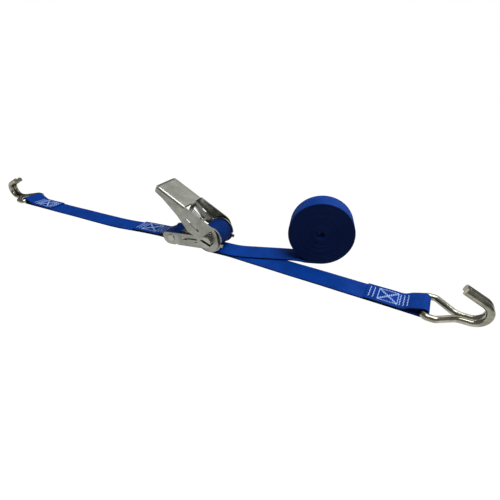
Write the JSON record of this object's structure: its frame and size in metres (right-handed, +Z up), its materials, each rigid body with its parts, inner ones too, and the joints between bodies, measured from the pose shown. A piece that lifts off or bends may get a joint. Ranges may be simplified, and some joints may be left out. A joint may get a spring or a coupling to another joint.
{
  "type": "ratchet tie down",
  "caption": "Ratchet tie down strap with a raised ratchet handle, wound webbing, a rolled spare end, and a double J wire hook on each end.",
  "frame": {"origin": "on the surface the part lies on, straight below the middle of the spindle, on the flat underside of the main strap", "axes": "+X along the ratchet from its anchor pin to its spindle, +Y across the webbing, +Z up"},
  "size_m": [0.6341, 0.0883, 0.0696],
  "materials": {
    "satin_steel": "zinc plated, satin",
    "dark_steel": "zinc plated, satin, darker",
    "spring_steel": "bright wire",
    "bright_steel": "zinc plated, polished",
    "blue_webbing": "woven polyester webbing",
    "rolled_webbing": "woven polyester webbing, seen from its edges"
  },
  "bodies": {
    "frame": {"base_frame": "satin_steel", "anchor_pin": "satin_steel", "lock_pawl_spring": "spring_steel", "main_strap": "blue_webbing", "tail_strap": "blue_webbing", "webbing_roll": "rolled_webbing", "fixed_strap": "blue_webbing"},
    "handle": {"handle": "satin_steel", "drive_pawl_spring": "spring_steel"},
    "drive_pawl": {"drive_pawl": "satin_steel"},
    "lock_pawl": {"lock_pawl": "satin_steel"},
    "spindle": {"spindle_half_upper": "satin_steel", "spindle_half_lower": "satin_steel", "ratchet_wheel_front": "dark_steel", "ratchet_wheel_rear": "dark_steel", "split_pin_front": "spring_steel", "split_pin_rear": "spring_steel", "wound_webbing": "blue_webbing"},
    "left_hook": {"left_hook": "bright_steel"},
    "right_hook": {"right_hook": "bright_steel"}
  },
  "joints": [
    {"name": "handle_fold", "type": "hinge", "parent": "frame", "child": "handle", "pos_m": [0, 0, 0.0177], "axis": [0, 1, 0], "range_deg": [-30, 120]},
    {"name": "spindle_turn", "type": "hinge", "parent": "frame", "child": "spindle", "pos_m": [0, 0, 0.0177], "axis": [0, 1, 0], "continuous": true},
    {"name": "drive_pawl_pull", "type": "slide", "parent": "handle", "child": "drive_pawl", "axis": [-0.788, 0, 0.6157], "range_m": [-0.0022, 0.004], "stiffness_N_per_m": 1500, "deforming": ["drive_pawl_spring"]},
    {"name": "lock_pawl_pull", "type": "slide", "parent": "frame", "child": "lock_pawl", "axis": [-0.9956, 0, -0.0941], "range_m": [0, 0.004], "stiffness_N_per_m": 1500, "springref_m": -0.001, "deforming": ["lock_pawl_spring"]},
    {"name": "left_hook_lift", "type": "hinge", "parent": "frame", "child": "left_hook", "pos_m": [-0.326, 0.00951, 0.0046], "axis": [0.0349, 0.9994, 0], "range_deg": [0, 110]},
    {"name": "right_hook_lift", "type": "hinge", "parent": "frame", "child": "right_hook", "pos_m": [0.21408, -0.0193, 0.0046], "axis": [-0.1011, -0.9949, 0], "range_deg": [0, 110]}
  ]
}
